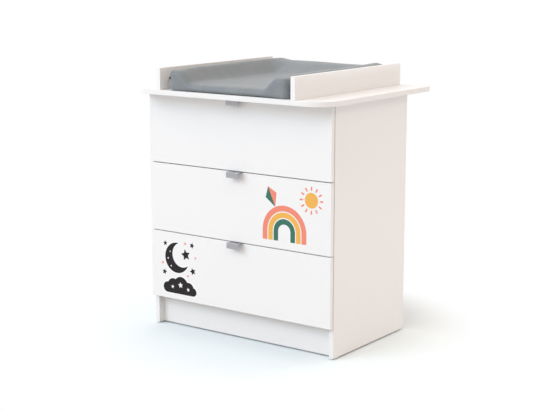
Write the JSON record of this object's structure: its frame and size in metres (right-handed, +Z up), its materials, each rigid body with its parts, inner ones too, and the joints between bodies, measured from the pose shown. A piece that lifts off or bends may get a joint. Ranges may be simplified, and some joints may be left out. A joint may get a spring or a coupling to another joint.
{
  "type": "changing dresser",
  "caption": "White chest with full-width drawers on roller runners under an overhanging changing board with side guards and a padded mat.",
  "frame": {"origin": "on the floor, under the middle of the changing board", "axes": "+X to the right seen from the front, +Y to the rear, the drawer fronts face -Y, +Z up"},
  "size_m": [0.85, 0.68, 0.973],
  "materials": {
    "board_white": "white melamine-faced board, satin",
    "hardboard": "thin white-faced hardboard",
    "pull_metal": "satin grey folded sheet",
    "runner_steel": "white epoxy-coated steel",
    "roller_plastic": "white nylon",
    "zinc": "bright zinc-plated",
    "dowel_wood": "plain fluted beech",
    "glide_plastic": "light grey polyethylene",
    "mat_cover": "grey polyurethane-coated knit, wipe-clean, satin",
    "mat_foam": "open-cell foam"
  },
  "bodies": {
    "carcass": {"side_panel_left": "board_white", "side_panel_right": "board_white", "bottom_panel": "board_white", "plinth": "board_white", "top_rail_front": "board_white", "top_rail_rear": "board_white", "back_panel": "hardboard", "changing_top": "board_white", "side_guard_left": "board_white", "side_guard_right": "board_white", "cam_fittings": "zinc", "wood_dowels": "dowel_wood", "guard_screws": "zinc", "top_screws": "zinc", "back_panel_nails": "zinc", "floor_glides": "glide_plastic", "cabinet_runner_screws": "zinc", "cabinet_runner_bottom_left": "runner_steel", "cabinet_runner_bottom_right": "runner_steel", "cabinet_runner_middle_left": "runner_steel", "cabinet_runner_middle_right": "runner_steel", "cabinet_runner_top_left": "runner_steel", "cabinet_runner_top_right": "runner_steel"},
    "drawer_bottom": {"drawer_bottom_front": "board_white", "drawer_bottom_side_left": "board_white", "drawer_bottom_side_right": "board_white", "drawer_bottom_back": "board_white", "drawer_bottom_base": "hardboard", "drawer_bottom_pull": "pull_metal", "drawer_bottom_fittings": "zinc", "drawer_runner_bottom_left": "runner_steel", "drawer_runner_bottom_right": "runner_steel"},
    "drawer_middle": {"drawer_middle_front": "board_white", "drawer_middle_side_left": "board_white", "drawer_middle_side_right": "board_white", "drawer_middle_back": "board_white", "drawer_middle_base": "hardboard", "drawer_middle_pull": "pull_metal", "drawer_middle_fittings": "zinc", "drawer_runner_middle_left": "runner_steel", "drawer_runner_middle_right": "runner_steel"},
    "drawer_top": {"drawer_top_front": "board_white", "drawer_top_side_left": "board_white", "drawer_top_side_right": "board_white", "drawer_top_back": "board_white", "drawer_top_base": "hardboard", "drawer_top_pull": "pull_metal", "drawer_top_fittings": "zinc", "drawer_runner_top_left": "runner_steel", "drawer_runner_top_right": "runner_steel"},
    "front_rollers_bottom": {"front_rollers_bottom": "roller_plastic"},
    "rear_rollers_bottom": {"rear_rollers_bottom": "roller_plastic"},
    "front_rollers_middle": {"front_rollers_middle": "roller_plastic"},
    "rear_rollers_middle": {"rear_rollers_middle": "roller_plastic"},
    "front_rollers_top": {"front_rollers_top": "roller_plastic"},
    "rear_rollers_top": {"rear_rollers_top": "roller_plastic"},
    "mat": {"mat_cover": "mat_cover", "mat_foam_core": "mat_foam"}
  },
  "joints": [
    {"name": "drawer_bottom_slide", "type": "slide", "parent": "carcass", "child": "drawer_bottom", "axis": [0, -1, 0], "range_m": [0, 0.33]},
    {"name": "drawer_middle_slide", "type": "slide", "parent": "carcass", "child": "drawer_middle", "axis": [0, -1, 0], "range_m": [0, 0.33]},
    {"name": "drawer_top_slide", "type": "slide", "parent": "carcass", "child": "drawer_top", "axis": [0, -1, 0], "range_m": [0, 0.33]},
    {"name": "front_rollers_bottom_turn", "type": "hinge", "parent": "carcass", "child": "front_rollers_bottom", "pos_m": [0, -0.23, 0.1508], "axis": [1, 0, 0], "range_deg": [0, 1992]},
    {"name": "rear_rollers_bottom_turn", "type": "hinge", "parent": "drawer_bottom", "child": "rear_rollers_bottom", "pos_m": [0, 0.181, 0.148], "axis": [1, 0, 0], "range_deg": [0, 1992]},
    {"name": "front_rollers_middle_turn", "type": "hinge", "parent": "carcass", "child": "front_rollers_middle", "pos_m": [0, -0.23, 0.405], "axis": [1, 0, 0], "range_deg": [0, 1992]},
    {"name": "rear_rollers_middle_turn", "type": "hinge", "parent": "drawer_middle", "child": "rear_rollers_middle", "pos_m": [0, 0.181, 0.4022], "axis": [1, 0, 0], "range_deg": [0, 1992]},
    {"name": "front_rollers_top_turn", "type": "hinge", "parent": "carcass", "child": "front_rollers_top", "pos_m": [0, -0.23, 0.6592], "axis": [1, 0, 0], "range_deg": [0, 1992]},
    {"name": "rear_rollers_top_turn", "type": "hinge", "parent": "drawer_top", "child": "rear_rollers_top", "pos_m": [0, 0.181, 0.6564], "axis": [1, 0, 0], "range_deg": [0, 1992]},
    {"name": "mat_lift", "type": "slide", "parent": "carcass", "child": "mat", "axis": [0, 0, 1], "range_m": [0, 0.12]}
  ],
  "couplings": [
    {"joint": "front_rollers_bottom_turn", "follows": "drawer_bottom_slide", "rad_per_m": 105.26},
    {"joint": "rear_rollers_bottom_turn", "follows": "drawer_bottom_slide", "rad_per_m": 105.26},
    {"joint": "front_rollers_middle_turn", "follows": "drawer_middle_slide", "rad_per_m": 105.26},
    {"joint": "rear_rollers_middle_turn", "follows": "drawer_middle_slide", "rad_per_m": 105.26},
    {"joint": "front_rollers_top_turn", "follows": "drawer_top_slide", "rad_per_m": 105.26},
    {"joint": "rear_rollers_top_turn", "follows": "drawer_top_slide", "rad_per_m": 105.26}
  ]
}
